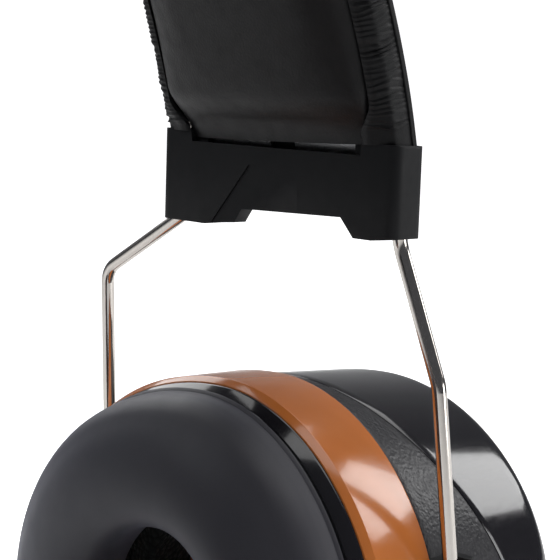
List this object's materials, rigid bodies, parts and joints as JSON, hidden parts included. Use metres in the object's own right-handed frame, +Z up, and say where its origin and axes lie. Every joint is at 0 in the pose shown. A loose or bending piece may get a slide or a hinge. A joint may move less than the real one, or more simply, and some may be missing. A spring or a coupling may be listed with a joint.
{
  "type": "hearing protection earmuffs",
  "caption": "Over-ear hearing protectors with a padded spring headband, sliding bent-wire yokes and deep twin-shell cups with soft ring cushions.",
  "frame": {"origin": "the point under the crown of the headband pad that rests on top of the head", "axes": "+Z up, X across the head with +X on the wearer's left, -Y to the front of the wearer"},
  "size_m": [0.213, 0.096, 0.2067],
  "materials": {
    "black_leatherette": "soft satin, fine grain",
    "gathered_leatherette": "satin, gathered into fine folds",
    "spring_steel": "plain spring steel",
    "bright_wire": "bright polished stainless wire",
    "black_matte_plastic": "matte, fine moulded grain",
    "fastener_plastic": "satin acetal",
    "orange_gloss": "glossy burnt orange",
    "black_rubber": "matte",
    "black_textured_plastic": "fine leather-like moulded texture",
    "black_gloss_plastic": "high gloss",
    "grey_plate": "satin grey edge",
    "cushion_foil": "soft matte foil over foam",
    "foam": "open-cell foam"
  },
  "bodies": {
    "headband": {"headband_sleeve": "black_leatherette", "headband_pad": "black_leatherette", "front_trim": "gathered_leatherette", "rear_trim": "gathered_leatherette", "front_spring_strip": "spring_steel", "rear_spring_strip": "spring_steel"},
    "left_arm": {"left_end_block": "black_matte_plastic", "left_strip_pins": "spring_steel"},
    "left_yoke": {"left_front_wire": "bright_wire", "left_rear_wire": "bright_wire", "left_wire_stops": "spring_steel"},
    "left_cup": {"left_front_fastener": "fastener_plastic", "left_rear_fastener": "fastener_plastic", "left_inner_shell": "orange_gloss", "left_shell_gasket": "black_rubber", "left_outer_housing": "black_textured_plastic", "left_outer_cap": "black_gloss_plastic", "left_mounting_plate": "black_gloss_plastic", "left_cushion_plate": "grey_plate", "left_cushion": "cushion_foil", "left_foam_liner": "foam"},
    "right_arm": {"right_end_block": "black_matte_plastic", "right_strip_pins": "spring_steel"},
    "right_yoke": {"right_front_wire": "bright_wire", "right_rear_wire": "bright_wire", "right_wire_stops": "spring_steel"},
    "right_cup": {"right_front_fastener": "fastener_plastic", "right_rear_fastener": "fastener_plastic", "right_inner_shell": "orange_gloss", "right_shell_gasket": "black_rubber", "right_outer_housing": "black_textured_plastic", "right_outer_cap": "black_gloss_plastic", "right_mounting_plate": "black_gloss_plastic", "right_cushion_plate": "grey_plate", "right_cushion": "cushion_foil", "right_foam_liner": "foam"}
  },
  "joints": [
    {"name": "left_arm_spread", "type": "hinge", "parent": "headband", "child": "left_arm", "pos_m": [0, 0, 0.007], "axis": [0, -1, 0], "range_deg": [0, 18], "stiffness_Nm_per_rad": 8, "deforming": ["headband_sleeve", "headband_pad", "front_trim", "rear_trim", "front_spring_strip", "rear_spring_strip"]},
    {"name": "left_height", "type": "slide", "parent": "left_arm", "child": "left_yoke", "axis": [0.225, 0, -0.9744], "range_m": [0, 0.02]},
    {"name": "left_cup_tilt", "type": "hinge", "parent": "left_yoke", "child": "left_cup", "pos_m": [0.072, 0.006, -0.1381], "axis": [0, 1, 0], "range_deg": [-12, 12]},
    {"name": "right_arm_spread", "type": "hinge", "parent": "headband", "child": "right_arm", "pos_m": [0, 0, 0.007], "axis": [0, 1, 0], "range_deg": [0, 18], "stiffness_Nm_per_rad": 8},
    {"name": "right_height", "type": "slide", "parent": "right_arm", "child": "right_yoke", "axis": [-0.225, 0, -0.9744], "range_m": [0, 0.02]},
    {"name": "right_cup_tilt", "type": "hinge", "parent": "right_yoke", "child": "right_cup", "pos_m": [-0.072, 0.006, -0.1381], "axis": [0, -1, 0], "range_deg": [-12, 12]}
  ],
  "couplings": [
    {"joint": "right_arm_spread", "follows": "left_arm_spread", "ratio": 1}
  ]
}
